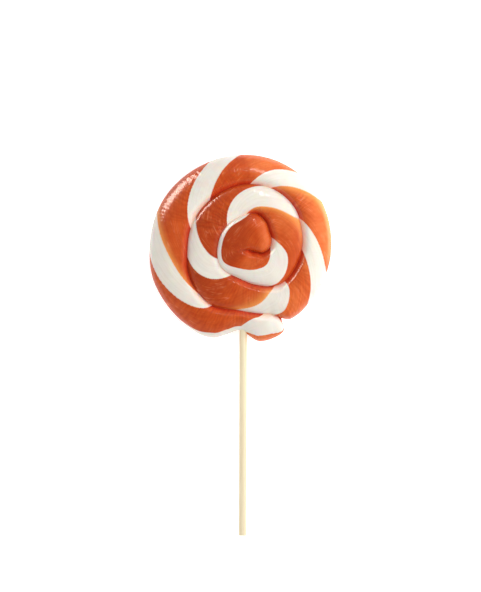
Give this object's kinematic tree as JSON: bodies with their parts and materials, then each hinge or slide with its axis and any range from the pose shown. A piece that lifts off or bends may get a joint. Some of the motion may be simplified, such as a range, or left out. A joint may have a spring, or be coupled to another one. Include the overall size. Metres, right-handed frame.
{
  "type": "swirl lollipop",
  "caption": "Round swirl lollipop: one twisted rope of orange and white sugar coiled flat on itself, on a plain wooden stick.",
  "frame": {"origin": "middle of the candy's flat back, on the plane that it lies on", "axes": "+Z out of the shown face, away from the table; the stick runs along -Y; +X to the right, seen from the shown face with the stick down"},
  "size_m": [0.0802, 0.1679, 0.0136],
  "materials": {
    "striped_sugar": "glossy pulled sugar, in orange and white stripes that twist round the rope",
    "birch_wood": "bare pale wood with a fine lengthwise grain"
  },
  "bodies": {
    "root": {"candy_swirl": "striped_sugar", "stick": "birch_wood"}
  },
  "joints": []
}
